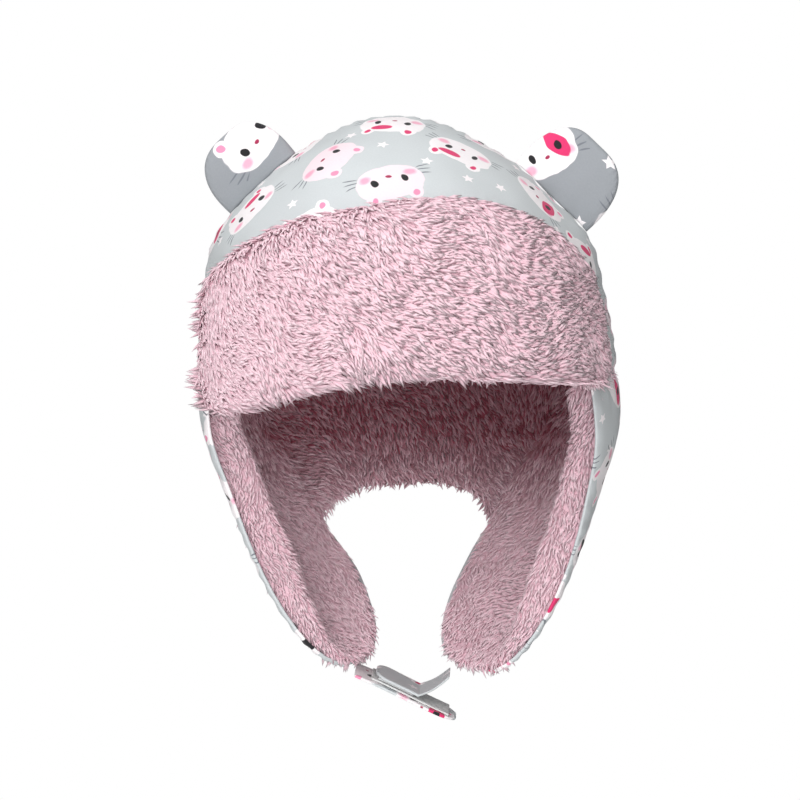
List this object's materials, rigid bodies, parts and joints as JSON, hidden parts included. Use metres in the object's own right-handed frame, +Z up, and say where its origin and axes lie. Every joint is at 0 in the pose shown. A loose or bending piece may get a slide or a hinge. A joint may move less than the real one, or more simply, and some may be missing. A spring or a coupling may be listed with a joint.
{
  "type": "baby hat with ears",
  "caption": "Baby winter hat with padded ears: printed cotton shell, pink plush lining, turned-up plush peak, ear flaps and a fastened chin strap.",
  "frame": {"origin": "the middle of the head hollow at brow level, where a head holds the hat", "axes": "+Z up to the crown, -Y the way the face looks, +X towards the wearer's left, the fastened strap under the chin at -Z"},
  "size_m": [0.1735, 0.1981, 0.2473],
  "materials": {
    "printed_cotton": "matt woven cotton, light grey with a small white and pink print",
    "pink_plush": "long-haired pink plush",
    "loop_tape": "white brushed loop tape",
    "hook_tape": "white nylon hook tape"
  },
  "bodies": {
    "root": {"crown_front": "printed_cotton", "crown_back": "printed_cotton", "crown_lining": "pink_plush", "nape_shell": "printed_cotton", "nape_lining": "pink_plush", "flap_left_shell": "printed_cotton", "flap_left_lining": "pink_plush", "flap_right_shell": "printed_cotton", "flap_right_lining": "pink_plush", "peak_backing": "printed_cotton", "peak_plush": "pink_plush", "ear_left": "printed_cotton", "ear_right": "printed_cotton", "chin_strap": "printed_cotton", "chin_tab": "printed_cotton", "loop_tape": "loop_tape", "hook_tape": "hook_tape"}
  },
  "joints": []
}
